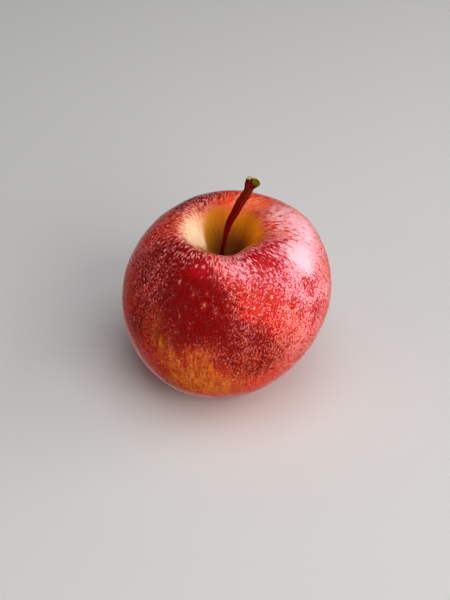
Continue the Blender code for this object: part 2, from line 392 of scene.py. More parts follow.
CRIMSON_PATCHES = (
    (198, 268, 4, 1.00), (178, 253, 6, 0.50), (283, 252, 6, 0.60), (272, 260, 7, 0.80),
    (256, 264, 7, 0.60), (232, 265, 9, 0.45), (310, 282, 5, 0.80), (310, 242, 6, 0.50),
    (318, 312, 5, 0.60), (184, 246, 6, 0.40), (300, 262, 10, 0.60), (308, 300, 10, 0.45),
    (284, 280, 8, 0.50),
)
# Painted highlight: whitish lavender patches where the glint and the rim light fall on the right shoulder,
# its edge and the top
PAINTED_HIGHLIGHT_PATCHES = (
    (301, 257, 6, 0.95), (308, 270, 4, 0.45), (292, 250, 4, 0.35), (309, 236, 8, 0.62),
    (286, 212, 10, 0.50), (327, 290, 4, 0.50),
)
MAROON_PATCHES = (
    (170, 257, 9, 0.90), (190, 253, 6, 0.60), (148, 266, 9, 0.60), (196, 199, 9, 1.00),
    (212, 193, 4, 0.60), (264, 258, 7, 0.20), (136, 290, 8, 0.15), (184, 206, 6, 0.50),
    (130, 320, 7, 0.20),
)

# Patches on the sides that the photograph hides: how many, and the least and most strength
HIDDEN_GOLD = (5, 0.4, 0.8)
HIDDEN_RED = (26, -0.15, 0.45)
HIDDEN_DEEP = (9, 0.3, 1.0)
HIDDEN_MAROON = (4, 0.3, 0.8)
HIDDEN_RADIUS = (0.004, 0.011)
HIDDEN_FACING = -0.1

# What the zones hold everywhere, or for gold all round the base
BASE_RED = 0.55
BASE_DEEP = 0.1
BASE_GOLD = 0.35
BASE_HEIGHT = 0.022

# Colours of the skin
# The whitish lavender of the painted highlight
PAINTED_HIGHLIGHT = linear(238, 186, 196)
PINK = linear(244, 150, 146)
SALMON = linear(228, 92, 56)
LILAC_PINK = linear(250, 156, 168)
CRIMSON = linear(182, 2, 16)
GOLD = linear(226, 120, 8)
PEACH = linear(240, 152, 84)
# Pale speckle between the maroon flecks, partly the skin's own colour and partly a painted sheen
DUSKY_PINK_SHEEN = linear(255, 132, 120)
# Orange of the top behind the cavity, its own colour made brighter as painted rim light
EMBER_RIM_LIT = linear(255, 122, 74)
EMBER_RED_RIM_LIT = linear(244, 50, 22)
BRIGHT_RED = linear(216, 28, 22)
ORANGE_RED = linear(226, 52, 22)
# Dark red, made darker than the pigment as painted shade
DEEP_RED_AND_SHADE = linear(128, 3, 2)
RUST = linear(170, 34, 5)
MAROON = linear(130, 1, 3)
PORE_PINK = linear(255, 180, 172)
RIM_OCHRE = linear(216, 98, 20)
# Cream of the cavity's left edge, its own colour made paler as a painted sheen
CREAM_AND_SHEEN = linear(250, 214, 172)
RIM_PINK = linear(226, 96, 70)
CAVITY_OCHRE = linear(206, 138, 1)
CAVITY_ORANGE = linear(248, 142, 2)
CAVITY_RUST = linear(176, 74, 2)
# Olive brown, partly the cavity's own colour and partly painted shade deep in it
CAVITY_OLIVE_SHADE = linear(108, 54, 1)
BASIN_BROWN = linear(176, 128, 60)

# Small pores everywhere: least distance between two at the shoulder and at the belly
PORE_GAP_TOP = 0.0034
PORE_GAP_BELLY = 0.0058
PORE_TRIES = 9000
PORE_REACH = 0.0028
PORE_BORDER = 0.0010
PORELESS_RADIUS = 0.0144

# The faintest pore's dot and halo in mm and its strength, and how much the boldest has more
PORE_DOT = 0.22
PORE_DOT_MORE = 0.16
PORE_HALO = 0.5
PORE_HALO_MORE = 0.6
PORE_STRENGTH = 0.3
PORE_STRENGTH_MORE = 0.45

# Lengths along a meridian count for less in a pore, which draws it out, and still less at the top
PORE_SQUEEZE = 0.95
PORE_SQUEEZE_TOP = 0.25

# The body's mesh, its meridians and its uneven lumps
WELD_REACH = 1e-6
QUAD_FACE_ANGLE = 0.6
QUAD_SHAPE_ANGLE = 0.9
SKIN_DIVISIONS = 2
SHIFT_ROUNDS = 4
MERIDIAN_EDGES = 121
SHOULDER_DROP = 0.008
LUMP_HEIGHT = 0.16

# The grain's stretch along a meridian, on the side and round the cavity, where it is read on a ring
SIDE_STRETCH = 0.6
TOP_STRETCH = 0.32
GRAIN_RING = 0.0200
STREAKS_FADE = (0.017, 0.033)

# The cavity's ochre inside ends and the red skin starts at these lengths, in mm from its floor
OCHRE_END = 23.4
RED_START = 23.6
UPPER_SHARE = 0.3
WELL_PAST = 0.02

# Sides of the cavity that differ: the middle of each and its width, in degrees
LEFT_SIDE = (167, 36)
PALE_SIDE = (183, 48)
BACK_SIDE = (108, 24)
FRONT_SIDE = (262, 48)
RUSTY_WALL = (88, 34)

# Scales of the skin's noises, from the finest flecks to the broadest clouds
FLECK_SCALE = 2100
FLECK_CELLS = 1350
STREAK_SCALE = 1700
STREAK_CELLS = 1300
BRUSH_SCALE = 1150
EDGE_SCALE = 620
CLUMP_SCALE = 420
BAND_SCALE = 240
MOTTLE_SCALE = 130
CLOUD_SCALE = 34


def welded(mesh):
    """Joins the split corners of an imported mesh, and its triangles into quads."""
    work = bmesh.new()
    work.from_mesh(mesh)
    bmesh.ops.remove_doubles(work, verts=work.verts, dist=WELD_REACH)
    bmesh.ops.join_triangles(
        work,
        faces=work.faces,
        angle_face_threshold=QUAD_FACE_ANGLE,
        angle_shape_threshold=QUAD_SHAPE_ANGLE,
    )
    work.to_mesh(mesh)
    work.free()


def applied(thing):
    """Replaces an object's mesh by its evaluated mesh, without modifiers."""
    graph = bpy.context.evaluated_depsgraph_get()
    mesh = bpy.data.meshes.new_from_object(thing.evaluated_get(graph))
    thing.modifiers.clear()
    thing.data = mesh


def copy_of(node, name):
    """A new piece with a welded copy of a CAD node's mesh."""
    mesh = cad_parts[node].data.copy()
    mesh.name = name
    mesh.materials.clear()
    welded(mesh)
    return put(name, mesh)


def coordinates(mesh):
    """All points of a mesh as an array."""
    flat = np.empty(len(mesh.vertices) * 3, np.float32)
    mesh.vertices.foreach_get("co", flat)
    return flat.reshape(-1, 3).astype(float)


def normals(mesh):
    """All point normals of a mesh as an array."""
    flat = np.empty(len(mesh.vertices) * 3, np.float32)
    mesh.vertices.foreach_get("normal", flat)
    return flat.reshape(-1, 3).astype(float)


def move_points(mesh, places):
    """Gives a mesh's points new places."""
    mesh.vertices.foreach_set("co", places.astype(np.float32).ravel())
    mesh.update()


def store(mesh, name, values):
    """Keeps one value or one vector for each point, for the material to read."""
    values = np.asarray(values, np.float32)
    kind, field = ("FLOAT_VECTOR", "vector") if values.ndim == 2 else ("FLOAT", "value")
    attribute = mesh.attributes.new(name, kind, "POINT")
    attribute.data.foreach_set(field, values.ravel())


def polar(points):
    """Each point's angle, radius and height about the leaning axis, seen without its lean."""
    height = points[:, 2]
    across = points[:, 0] - AXIS_X - LEAN * (height - WIDEST_HEIGHT)
    deep = points[:, 1] - AXIS_Y
    radius = np.hypot(across, deep)
    middle = across
    for _ in range(SHIFT_ROUNDS):
        high = smooth(height, WIDEST_HEIGHT, SHOULDER_HEIGHT)
        on_top = high * (1 - smooth(radius, LIP_RADIUS, SHIFT_REACH))
        middle = across - CAVITY_SHIFT * on_top
        radius = np.hypot(middle, deep)
    return np.arctan2(deep, middle), radius, height


def length_along(radius, height):
    """How far each point lies from the cavity floor, measured along its meridian."""
    swing = np.arctan2(height - CORE_HEIGHT, radius - CORE_RADIUS)
    edges = np.linspace(swing.max(), swing.min(), MERIDIAN_EDGES)
    line = []
    for upper, lower in zip(edges, edges[1:]):
        inside = (swing <= upper) & (swing >= lower)
        if inside.any():
            line.append((swing[inside].mean(), radius[inside].mean(), height[inside].mean()))
    line = np.array(line)
    steps = np.hypot(np.diff(line[:, 1]), np.diff(line[:, 2]))
    lengths = np.concatenate([[0], np.cumsum(steps)])
    return np.interp(-swing, -line[:, 0], lengths)


class Surface:
    """The body's surface as arrays: places, angles and lengths along the meridians."""

    def __init__(self, mesh):
        self.points = coordinates(mesh)
        self.normals = normals(mesh)
        self.turn, self.radius, self.height = polar(self.points)
        self.along = length_along(self.radius, self.height)
        self.top = smooth(self.height, WIDEST_HEIGHT, SHOULDER_HEIGHT - SHOULDER_DROP)
        self.bottom = 1 - smooth(self.height, 0.0, BASE_HEIGHT)
        self.tree = BVHTree.FromPolygons(
            [Vector(p) for p in self.points], [tuple(f.vertices) for f in mesh.polygons]
        )
        self.nearest = KDTree(len(self.points))
        for index, point in enumerate(self.points):
            self.nearest.insert(point, index)
        self.nearest.balance()

    def seen_at(self, x, y):
        """The index of the point that the camera sees at a pixel."""
        place = self.tree.ray_cast(*pixel_ray(x, y))[0]
        return self.nearest.find(place)[1]

    def patches(self, listed):
        """The summed strength of broad soft patches."""
        total = np.zeros(len(self.points))
        for x, y, radius, strength in listed:
            middle = self.points[self.seen_at(x, y)]
            distance = np.linalg.norm(self.points - middle, axis=1)
            total += strength * np.exp(-((distance / (radius * MM)) ** 2))
        return total

    def hidden_patches(self, count, least, most):
        """The summed strength of patches by a seeded draw, on the sides that the photograph hides."""
        draw = random.Random(SEED * count)
        total = np.zeros(len(self.points))
        back = np.array(camera_back())
        while count:
            index = draw.randrange(len(self.points))
            if self.normals[index] @ back > HIDDEN_FACING:
                continue
            distance = np.linalg.norm(self.points - self.points[index], axis=1)
            radius = draw.uniform(*HIDDEN_RADIUS)
            total += draw.uniform(least, most) * np.exp(-((distance / radius) ** 2))
            count -= 1
        return total


def small_pore(index, size):
    """A small pore's point, dot, halo and strength, for a size from 0 to 1."""
    dot = PORE_DOT + PORE_DOT_MORE * size
    halo = PORE_HALO + PORE_HALO_MORE * size
    return index, dot * MM, halo * MM, PORE_STRENGTH + PORE_STRENGTH_MORE * size


def scattered_pores(surface):
    """Pores by a seeded draw, closer together towards the shoulder, after the bold ones."""
    draw = random.Random(SEED)
    kept = [(surface.seen_at(x, y), dot * MM, halo * MM, share) for x, y, dot, halo, share in BOLD_PORES]
    places = [surface.points[index] for index, *_ in kept]
    for _ in range(PORE_TRIES):
        index = draw.randrange(len(surface.points))
        share = float(smooth(surface.height[index], WIDEST_HEIGHT, SHOULDER_HEIGHT))
        gap = PORE_GAP_BELLY + (PORE_GAP_TOP - PORE_GAP_BELLY) * share
        size = draw.random()
        in_cavity = surface.radius[index] < PORELESS_RADIUS and share > 0.5
        here = surface.points[index]
        if in_cavity or np.min(np.linalg.norm(np.array(places) - here, axis=1)) < gap:
            continue
        places.append(here)
        kept.append(small_pore(index, size))
    return kept


def store_pores(mesh, surface):
    """Keeps at each point the way from the nearest pore, and that pore's sizes."""
    pores = scattered_pores(surface)
    tree = KDTree(len(pores))
    for number, (index, *_) in enumerate(pores):
        tree.insert(surface.points[index], number)
    tree.balance()
    offset = np.zeros((len(surface.points), 3))
    look = np.zeros((len(surface.points), 3))
    near = np.zeros(len(surface.points))
    for here, point in enumerate(surface.points):
        (_, number, distance), (_, _, next_distance) = tree.find_n(point, 2)
        if distance > PORE_REACH or next_distance - distance < PORE_BORDER:
            continue
        index, dot, halo, strength = pores[number]
        turned = math.remainder(surface.turn[here] - surface.turn[index], math.tau)
        above = float(smooth(surface.height[index], WIDEST_HEIGHT, SHOULDER_HEIGHT))
        offset[here] = (
            turned * surface.radius[here],
            (surface.along[here] - surface.along[index]) * (PORE_SQUEEZE - PORE_SQUEEZE_TOP * above),
            0,
        )
        look[here] = (dot, halo, strength)
        near[here] = 1
    store(mesh, "pore_offset", offset)
    store(mesh, "pore_look", look)
    store(mesh, "pore_near", near)


def bell(turn, middle, width):
    """1 at an angle, falling off to both sides of it."""
    away = np.remainder(turn - math.radians(middle) + math.pi, math.tau) - math.pi
    return np.exp(-((away / math.radians(width)) ** 2))


def cavity_edges(turn):
    """How pale the cavity's edge is, how far its ochre inside reaches and where the red skin starts."""
    left = bell(turn, *LEFT_SIDE)
    pale = bell(turn, *PALE_SIDE)
    back = bell(turn, *BACK_SIDE)
    front = bell(turn, *FRONT_SIDE)
    ochre_end = (OCHRE_END - 10.3 * left + 1.2 * back - 2.0 * front) * MM
    red_start = (RED_START + 3.4 * pale + 0.9 * back - 2.0 * front) * MM
    return np.minimum(pale * 1.25, 1), ochre_end, red_start


def lumpy(surface, mesh):
    """Moves the points a little in and out, as a real body is never quite even."""
    p = surface.points / MM
    lumps = (
        np.sin(p[:, 0] * 0.21 + 1.3) * np.sin(p[:, 1] * 0.17 + 0.4) * np.sin(p[:, 2] * 0.19 + 2.1)
        + 0.5 * np.sin(p[:, 0] * 0.43 + p[:, 2] * 0.31) * np.sin(p[:, 1] * 0.39 - p[:, 2] * 0.23 + 1)
    )
    outside = smooth(surface.radius, 0.010, 0.020) * smooth(surface.height, 0.002, 0.012)
    move_points(mesh, surface.points + surface.normals * (lumps * outside * LUMP_HEIGHT * MM)[:, None])


def store_grain(mesh, surface):
    """Keeps where the noises are read, on the side and round the cavity, where they turn to streaks."""
    across, deep = np.cos(surface.turn), np.sin(surface.turn)
    radius, along = surface.radius, surface.along
    store(mesh, "side_grain", np.stack([radius * across, radius * deep, along * SIDE_STRETCH], axis=1))
    ring = [GRAIN_RING * across, GRAIN_RING * deep, along * TOP_STRETCH]
    store(mesh, "top_grain", np.stack(ring, axis=1))
    store(mesh, "streaked", (1 - smooth(radius, *STREAKS_FADE)) * surface.top)


def store_zones(mesh, surface):
    """Keeps how strong each coloured zone and the painted highlight are, as seen and by a seeded draw on the
    hidden sides.
    """
    red = BASE_RED + surface.patches(RED_PATCHES) - surface.patches(LIGHT_PATCHES)
    hidden_gold = surface.hidden_patches(*HIDDEN_GOLD)
    not_gold = 1 - smooth(hidden_gold, 0.0, 0.4)
    store(mesh, "red", red + surface.hidden_patches(*HIDDEN_RED) - 0.2 * hidden_gold)
    hidden_deep = surface.hidden_patches(*HIDDEN_DEEP) * not_gold
    store(mesh, "deep_red_and_shade", surface.patches(DEEP_RED_AND_SHADE_PATCHES) + hidden_deep + BASE_DEEP)
    store(mesh, "crimson", surface.patches(CRIMSON_PATCHES))
    store(mesh, "gold", surface.patches(GOLD_PATCHES) + hidden_gold + BASE_GOLD * surface.bottom)
    store(mesh, "painted_highlight", surface.patches(PAINTED_HIGHLIGHT_PATCHES))
    store(mesh, "rim_lit_ember", surface.patches(RIM_LIT_EMBER_PATCHES))
    hidden_maroon = surface.hidden_patches(*HIDDEN_MAROON) * not_gold
    store(mesh, "maroon", surface.patches(MAROON_PATCHES) + hidden_maroon)


def store_warmth(mesh, surface):
    """Keeps how warm the ground is, which is cool high up and on the right."""
    cool_side = smooth(surface.points[:, 0], -0.022, 0.026)
    cool_edge = 0.8 * smooth(surface.points[:, 0], 0.010, 0.030)
    cool_height = np.maximum(smooth(surface.height, 0.030, 0.056), cool_edge)
    high = 0.85 * smooth(surface.height, 0.042, 0.056)
    warm = 1 - np.maximum(cool_height * cool_side, high)
    store(mesh, "warm", warm + surface.patches(WARM_PATCHES))


def store_cavity(mesh, surface):
    """Keeps what the cavity's edge, walls, painted floor shade and the basin underneath need."""
    turn, along = surface.turn, surface.along
    pale, ochre_end, red_start = cavity_edges(turn)
    upper = surface.top > UPPER_SHARE
    store(mesh, "past_ochre", np.where(upper, along - ochre_end, WELL_PAST))
    store(mesh, "past_rim", np.where(upper, along - red_start, WELL_PAST))
    store(mesh, "cream", pale)
    # Painted shade: darker towards the cavity's floor, a quarter less on its pale side
    store(mesh, "floor", (1 - smooth(along, 0.006, 0.026)) * (1 - 0.25 * pale))
    store(mesh, "right_wall", smooth(np.cos(turn), -0.5, 0.1))
    store(mesh, "back_wall", bell(turn, *RUSTY_WALL))
    store(mesh, "basin", surface.bottom * (1 - smooth(surface.radius, 0.005, 0.016)))


def make_skin():
    """The body's skin: a fine copy of the CAD body that holds what its material reads."""
    skin = copy_of("apple_body", "skin")
    divided = skin.modifiers.new("fine", "SUBSURF")
    divided.levels = divided.render_levels = SKIN_DIVISIONS
    applied(skin)
    mesh = skin.data
    lumpy(Surface(mesh), mesh)
    surface = Surface(mesh)
    store_grain(mesh, surface)
    store_zones(mesh, surface)
    store_warmth(mesh, surface)
    store_cavity(mesh, surface)
    store_pores(mesh, surface)
    mesh.materials.append(skin_material())
    mesh.shade_smooth()
    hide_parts("apple_body")
    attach(skin, "root")


def flecks(s, vector, scale, cells, roughness, gain):
    """Fine flecks of uneven size, about 0 on average."""
    return s.total((s.noise(vector, scale, 3.0, roughness), gain), (s.cells(vector, cells), 0.8), -0.38)


class Grain:
    """The skin's noises, from fine flecks to broad clouds, each about 0 on average."""

    def __init__(self, s):
        side = s.attribute("side_grain", "Vector")
        over = s.attribute("top_grain", "Vector")
        self.streaked = s.attribute("streaked")
        self.streaks = flecks(s, over, STREAK_SCALE, STREAK_CELLS, 0.7, 4.0)
        self.edge = s.noise(over, EDGE_SCALE, 3.0, 0.6)
        self.clump = s.noise(side, CLUMP_SCALE, 2.0, 0.55)
        self.band = s.noise(s.stretched(side, (1, 1, 0.4)), BAND_SCALE, 2.0, 0.6)
        self.mottle = s.noise(side, MOTTLE_SCALE, 2.0, 0.55)
        self.cloud = s.noise(side, CLOUD_SCALE, 1.0, 0.5)

        fine = flecks(s, side, FLECK_SCALE, FLECK_CELLS, 0.68, 3.1)
        brush = s.noise(s.stretched(side, (1, 1, 0.3)), BRUSH_SCALE, 3.0, 0.65)
        brushed = s.math("MULTIPLY", s.step(s.attribute("gold"), 0.2, 0.8), 0.6)
        self.fleck = s.blend(brushed, s.blend(self.streaked, fine, self.streaks), s.total((brush, 2.0)))


class Zones:
    """The shares of the skin's coloured zones, with ragged edges."""

    def __init__(self, s, grain):
        self.deep = self.ragged(s, grain, "deep_red_and_shade", 0.7, 0.5)
        self.maroon = self.ragged(s, grain, "maroon", 0.5, 0.3)
        self.crimson = self.ragged(s, grain, "crimson", 0.6, 0.4)
        gold = s.total(s.attribute("gold"), (grain.mottle, 0.7), (grain.clump, 0.5), (grain.fleck, 0.3))
        self.gold = s.step(gold, 0.1, 1.0)
        self.rim_lit_ember = s.attribute("rim_lit_ember")

    def ragged(self, s, grain, name, mottled, clumped):
        """A zone's share, torn by the noises by these amounts."""
        return s.step(s.total(s.attribute(name), (grain.mottle, mottled), (grain.clump, clumped)), 0.1, 0.9)


def pore_shares(s, grain, zones):
    """The shares of the pores' dots and of their halos, which are drawn out along the meridians."""
    offset = s.parts(s.attribute("pore_offset", "Vector"))
    dot_radius, halo_radius, strength = s.parts(s.attribute("pore_look", "Vector"))
    calm = s.total(1.0, (s.step(grain.streaked, 0.5, 1.0), -0.6))
    inside = s.math("MULTIPLY", s.step(s.attribute("pore_near"), 0.5, 0.95), calm)
    dot_away = s.length(s.vector(offset[0], offset[1]))
    dot_away = s.total(dot_away, (grain.clump, 0.0006), (grain.fleck, 0.0003))
    halo_away = s.length(s.vector(offset[0], s.math("MULTIPLY", offset[1], 0.5)))
    halo_away = s.total(halo_away, (grain.clump, 0.0034), (grain.fleck, 0.0006))
    dot = s.math("MULTIPLY", s.step(s.math("DIVIDE", dot_away, dot_radius), 1.4, 0.2), inside)
    halo = s.math("MULTIPLY", s.step(s.math("DIVIDE", halo_away, halo_radius), 1.5, 0.2), inside)
    dot = s.math("MULTIPLY", dot, s.total(strength, (zones.deep, -0.42)), clamp=True)
    halo = s.math("MULTIPLY", halo, s.total(strength, (zones.deep, -0.40)), clamp=True)
    return dot, halo


def pigment_amount(s, grain, zones, halo):
    """How much red pigment lies over the ground: from 0 for none to 1.5 for dark red."""
    broad = s.total(
        s.attribute("red"), (grain.clump, 0.75), (grain.mottle, 0.55), (grain.band, 0.75),
        (grain.cloud, 0.3), (halo, 0.65), (s.math("MULTIPLY", grain.edge, grain.streaked), 0.30),
    )
    contrast = s.total(1.55, (zones.deep, -0.55), (grain.streaked, 0.45))
    return s.total(broad, s.math("MULTIPLY", grain.fleck, contrast))


def ground_colour(s, grain, zones):
    """The colour of the ground that shows between the flecks."""
    ground = s.mix(s.attribute("warm"), PINK, SALMON)
    ground = s.mix(zones.crimson, ground, LILAC_PINK)
    # Brighter orange ground at the top behind the cavity, partly painted rim light
    ground = s.mix(zones.rim_lit_ember, ground, EMBER_RIM_LIT)
    golden = s.mix(s.step(s.total((grain.fleck, -1.0), (grain.clump, 0.5)), -0.1, 0.7), GOLD, PEACH)
    ground = s.mix(zones.gold, ground, golden)
    # Between maroon flecks the ground is a pale dusky pink, partly a painted sheen
    return s.mix(s.math("MULTIPLY", zones.maroon, 0.6), ground, DUSKY_PINK_SHEEN)


def pigment_colour(s, grain, zones, halo, amount):
    """The colour of the red pigment, by zone and darker where there is most of it."""
    orange = s.step(s.total((grain.mottle, 1.2), (grain.fleck, -0.5)), -0.2, 0.5)
    bright = s.mix(orange, BRIGHT_RED, ORANGE_RED)
    dark = s.step(amount, 0.80, 1.50)
    # Dark red where the deep patches lie and where the pigment is thickest, partly painted shade
    pigment = s.mix(s.total((zones.deep, 0.95), (dark, 0.50), (grain.band, -0.8)), bright, DEEP_RED_AND_SHADE)
    pigment = s.mix(s.math("MULTIPLY", halo, 0.5), pigment, ORANGE_RED)
    pigment = s.mix(s.math("MULTIPLY", zones.crimson, 0.85), pigment, CRIMSON)
    pigment = s.mix(s.math("MULTIPLY", zones.gold, 0.6), pigment, RUST)
    pigment = s.mix(zones.maroon, pigment, MAROON)
    # Brighter orange pigment there, partly painted rim light
    return s.mix(s.math("MULTIPLY", zones.rim_lit_ember, 0.85), pigment, EMBER_RED_RIM_LIT)


def rim_share(s, grain):
    """The share of the cavity's edge and inside, which ends raggedly in the red skin."""
    ragged = s.total((grain.edge, 0.0075), (grain.fleck, 0.0022), (grain.clump, 0.0024))
    return s.step(s.math("ADD", s.attribute("past_rim"), ragged), 0.0040, -0.0038)


def rim_colour(s, grain):
    """The cavity's edge, cream on its left and paler there as a painted sheen, with red streaks running in
    over it.
    """
    colour = s.mix(s.attribute("cream"), RIM_OCHRE, CREAM_AND_SHEEN)
    streaks = s.step(s.total((s.attribute("past_rim"), 110), (grain.streaks, 1.2)), -0.38, 0.35)
    return s.mix(s.math("MULTIPLY", streaks, 0.8), colour, RIM_PINK)


def inside_share(s, grain):
    """The share of the cavity's ochre inside."""
    ragged = s.total((grain.edge, 0.0060), (grain.streaks, 0.0010))
    return s.step(s.math("ADD", s.attribute("past_ochre"), ragged), 0.0016, -0.0022)


def inside_colour(s, grain):
    """The cavity's walls, ochre to orange with rusty veins, and its floor, darkened to olive as painted
    shade.
    """
    inside = s.mix(s.attribute("right_wall"), CAVITY_OCHRE, CAVITY_ORANGE)
    inside = s.mix(s.math("MULTIPLY", s.attribute("back_wall"), 0.65), inside, CAVITY_RUST)
    veins = s.step(s.total(grain.edge, (grain.streaks, 0.3)), -0.15, 0.45)
    inside = s.mix(s.math("MULTIPLY", veins, 0.4), inside, CAVITY_RUST)
    # Painted shade: the walls darken to olive towards the floor
    floor = s.step(s.total(s.attribute("floor"), (grain.edge, 0.25), (grain.mottle, 0.2)), 0.1, 0.9)
    return s.mix(floor, inside, CAVITY_OLIVE_SHADE)


def skin_material():
    """The skin: red pigment in flecks and streaks over a pale or golden ground, with pores."""
    material, s = new_material("skin")
    grain = Grain(s)
    zones = Zones(s, grain)
    dot, halo = pore_shares(s, grain, zones)
    amount = pigment_amount(s, grain, zones, halo)
    ground = ground_colour(s, grain, zones)
    pigment = pigment_colour(s, grain, zones, halo, amount)
    skin = s.mix(s.step(amount, 0.0, 0.98), ground, pigment)
    # Painted highlight: whitish lavender over the skin where the glint and the rim light fall
    painted_highlight = s.total(s.attribute("painted_highlight"), (grain.clump, 0.9), (grain.fleck, -0.5), (grain.mottle, 0.4))
    skin = s.mix(s.step(painted_highlight, 0.15, 1.0), skin, PAINTED_HIGHLIGHT)
    skin = s.mix(s.math("MULTIPLY", dot, 0.85), skin, PORE_PINK)
    rim = rim_share(s, grain)
    skin = s.mix(rim, skin, rim_colour(s, grain))
    inside = inside_share(s, grain)
    skin = s.mix(inside, skin, inside_colour(s, grain))
    skin = s.mix(s.attribute("basin"), skin, BASIN_BROWN)

    height = s.total((grain.fleck, 0.35), (grain.clump, 0.9), (dot, 0.4))
    normal = s.bump(height, 0.00012, 0.8)
    roughness = s.total((grain.clump, 0.25), (rim, 0.12), (inside, 0.16), 0.30)
    s.finish(skin, roughness, normal, IOR=1.45, Specular_IOR_Level=0.38)
    return material


# The stalk

# The bud scar: the middle of its oblique face, the way that it faces, its radius and its brighter side
SCAR_MIDDLE = Vector((0.0105, 0.0033, 0.0806))
SCAR_WAY = Vector((0.54, -0.38, 0.75)).normalized()
SCAR_RADIUS = 0.0017
SCAR_BRIGHT_SIDE = Vector((0.66, 0.30, 0.69))
SCAR_HOLLOW = 0.0003
PIT_DEPTH = 0.00008

# The torn nub beside the scar starts at this height and is this high
NUB_HEIGHT = 0.0806
NUB_RISE = 0.0012

# The bark's mesh and relief, and the slices that its middle line is found in
STALK_VOXEL = 0.00013
RIDGE_COUNT = 7
FINE_RIDGE_COUNT = 11
RIDGE_HEIGHT = 0.00009
KNOB_HEIGHT = 0.00003
STALK_SLICES = 60
SOFTENED_SLICES = 7

BARK_RED = linear(110, 5, 3)
BARK_BROWN = linear(124, 50, 16)
BARK_DARK = linear(82, 6, 3)
BARK_TAN = linear(160, 78, 26)
SCAR_OLIVE = linear(112, 88, 14)
SCAR_DARK = linear(48, 32, 6)
SCAR_CREAM = linear(214, 208, 150)
NUB_GREEN = linear(184, 182, 130)


def remeshed(piece, voxel):
    """Gives a piece an even fine mesh."""
    modifier = piece.modifiers.new("even", "REMESH")
    modifier.mode = "VOXEL"
    modifier.voxel_size = voxel
    modifier.use_smooth_shade = True
    applied(piece)


def middle_line(points):
    """The middle of the stalk at each of its points' heights."""
    edges = np.linspace(points[:, 2].min(), points[:, 2].max(), STALK_SLICES + 1)
    heights, across, deep = [], [], []
    for low, high in zip(edges, edges[1:]):
        inside = (points[:, 2] >= low) & (points[:, 2] <= high)
        heights.append((low + high) / 2)
        across.append((points[inside, 0].min() + points[inside, 0].max()) / 2)
        deep.append((points[inside, 1].min() + points[inside, 1].max()) / 2)
    soft = np.ones(SOFTENED_SLICES) / SOFTENED_SLICES
    across = np.convolve(np.pad(across, SOFTENED_SLICES // 2, "edge"), soft, "valid")
    deep = np.convolve(np.pad(deep, SOFTENED_SLICES // 2, "edge"), soft, "valid")
    return np.interp(points[:, 2], heights, across), np.interp(points[:, 2], heights, deep)


def bark_relief(turn, height):
    """The bark's long wandering ridges and its small knobs, each from about -1 to 1."""
    wander = 0.9 * np.sin(height * 260) + 0.5 * np.sin(height * 610 + 1)
    ridge = np.sin(RIDGE_COUNT * turn + wander) + 0.6 * np.sin(FINE_RIDGE_COUNT * turn - wander * 1.6 + 2)
    knobs = np.sin(height * 1900 + 2 * np.sin(turn * 2)) * np.sin(turn * 3 + height * 800)
    return ridge, knobs


def make_stalk():
    """The stalk: ridged bark, an oblique scar where the bud was and a pale torn nub."""
    stalk = copy_of("stalk", "stalk_bark")
    remeshed(stalk, STALK_VOXEL)
    mesh = stalk.data
    points = coordinates(mesh)
    outward = normals(mesh)
    across, deep = middle_line(points)
    turn = np.arctan2(points[:, 1] - deep, points[:, 0] - across)
    height = points[:, 2]
    ridge, knobs = bark_relief(turn, height)

    to_scar = points - np.array(SCAR_MIDDLE)
    before = to_scar @ np.array(SCAR_WAY)
    from_middle = np.linalg.norm(to_scar - before[:, None] * np.array(SCAR_WAY), axis=1)
    on_face = smooth(before, -0.0005, -0.0001) * smooth(from_middle, SCAR_RADIUS * 1.3, SCAR_RADIUS)
    hollow = on_face * smooth(from_middle, SCAR_RADIUS * 0.95, SCAR_RADIUS * 0.5)
    pits = np.sin(points[:, 0] * 5200) * np.sin(points[:, 1] * 6100 + 1) * np.sin(height * 5600 + 2)

    moved = points + outward * ((1 - on_face) * (ridge * RIDGE_HEIGHT / 2 + knobs * KNOB_HEIGHT))[:, None]
    moved -= np.array(SCAR_WAY) * (hollow * SCAR_HOLLOW + on_face * pits * PIT_DEPTH)[:, None]
    move_points(mesh, moved)

    store(mesh, "ridge", ridge * (1 - on_face))
    store(mesh, "round", np.stack([np.cos(turn), np.sin(turn), height * 160], axis=1))
    store(mesh, "face", on_face)
    store(mesh, "hollow", hollow)
    store(mesh, "upper", smooth(height, 0.069, 0.080))
    # Painted light: browner bark high up on the right side, where the light falls
    store(mesh, "painted_light_bark", smooth(height, 0.063, 0.077) * smooth(np.cos(turn), 0.1, 0.9))
    sideways = to_scar @ np.array(SCAR_BRIGHT_SIDE)
    store(mesh, "bright_side", smooth(sideways, -0.0002, 0.0009))
    rim = smooth(before, -0.0011, -0.0004) * smooth(from_middle, SCAR_RADIUS * 1.9, SCAR_RADIUS * 1.3)
    store(mesh, "rim", rim * smooth(to_scar[:, 2], -0.0012, 0.0002))
    nub = smooth(height, NUB_HEIGHT, NUB_HEIGHT + NUB_RISE) * smooth(from_middle, 0.0016, 0.0021)
    store(mesh, "nub", nub)
    mesh.materials.append(stalk_material())
    mesh.shade_smooth()
    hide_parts("stalk")
    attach(stalk, "root")


